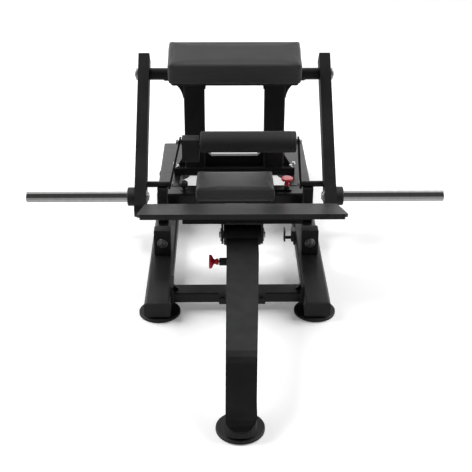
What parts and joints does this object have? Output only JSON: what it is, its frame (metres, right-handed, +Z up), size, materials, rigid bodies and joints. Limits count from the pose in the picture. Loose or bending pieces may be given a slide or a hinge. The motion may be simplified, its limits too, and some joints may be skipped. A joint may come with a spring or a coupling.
{
  "type": "hip thrust machine",
  "caption": "Floor-standing hip thrust machine with plate-loaded lifting arms, lap roller, back and seat cushions and a tilting foot plate.",
  "frame": {"origin": "on the floor, midway between the front foot's front edge and the rear of the base, on the centre plane", "axes": "+X to the right as seen from the front foot, +Y toward the rear uprights, +Z up"},
  "size_m": [1.806, 2.1998, 0.7856],
  "materials": {
    "frame_black": "satin powder coat",
    "black_plastic": "fine-grained",
    "rubber_black": "matte",
    "zinc_steel": "bright zinc plate",
    "chrome": "polished",
    "steel": "turned",
    "vinyl": "soft grained vinyl",
    "board": "painted board",
    "red_knob": "glossy"
  },
  "bodies": {
    "frame": {"rails": "frame_black", "rail_caps": "black_plastic", "feet": "rubber_black", "front_cross": "frame_black", "rear_cross": "frame_black", "spine": "frame_black", "spine_saddle": "frame_black", "deck_sides": "frame_black", "deck_front_beam": "frame_black", "main_beam": "frame_black", "uprights": "frame_black", "upright_brace": "frame_black", "top_gussets": "frame_black", "pivot_axle": "frame_black", "axle_caps": "zinc_steel", "back_brackets": "frame_black", "back_board": "board", "back_cushion": "vinyl", "plate_pin_collar": "black_plastic", "seat_guide": "steel", "rest_posts": "frame_black", "rest_pads": "rubber_black", "stop_blocks": "rubber_black", "stop_bolts": "zinc_steel", "frame_bolts": "zinc_steel", "side_bracket": "frame_black"},
    "arms": {"arm_left": "frame_black", "arm_right": "frame_black", "horns": "chrome", "horn_collars": "black_plastic", "horn_bolts": "zinc_steel", "arm_rods": "frame_black", "link_left": "frame_black", "link_right": "frame_black", "link_bolts": "zinc_steel", "roller_housing": "black_plastic", "roller_axle": "steel"},
    "roller": {"roller_core": "board", "roller_cushion": "vinyl"},
    "plate": {"foot_plate": "frame_black", "plate_bracket": "frame_black", "plate_sector": "steel", "plate_axle": "steel", "plate_caps": "zinc_steel"},
    "plate_pull": {"plate_pin": "zinc_steel", "plate_pin_knob": "red_knob"},
    "seat": {"seat_carriage": "frame_black", "seat_board": "board", "seat_cushion": "vinyl", "seat_pin_collar": "black_plastic"},
    "seat_pull": {"seat_pin": "zinc_steel", "seat_pin_knob": "red_knob"}
  },
  "joints": [
    {"name": "arm_lift", "type": "hinge", "parent": "frame", "child": "arms", "pos_m": [0, 0.72, 0.631], "axis": [-1, 0, 0], "range_deg": [0, 70]},
    {"name": "roller_spin", "type": "hinge", "parent": "arms", "child": "roller", "pos_m": [0, 0.40092, 0.42629], "axis": [1, 0, 0], "continuous": true},
    {"name": "plate_angle", "type": "hinge", "parent": "frame", "child": "plate", "pos_m": [0.019, -0.239, 0.304], "axis": [-1, 0, 0], "range_deg": [-20, 0]},
    {"name": "plate_pin_pull", "type": "slide", "parent": "frame", "child": "plate_pull", "axis": [-1, 0, 0], "range_m": [0, 0.012], "stiffness_N_per_m": 800, "springref_m": -0.005},
    {"name": "seat_slide", "type": "slide", "parent": "frame", "child": "seat", "axis": [0, 1, 0], "range_m": [-0.025, 0.025]},
    {"name": "seat_pin_pull", "type": "slide", "parent": "seat", "child": "seat_pull", "axis": [0, 0, 1], "range_m": [0, 0.012], "stiffness_N_per_m": 800, "springref_m": -0.005}
  ]
}
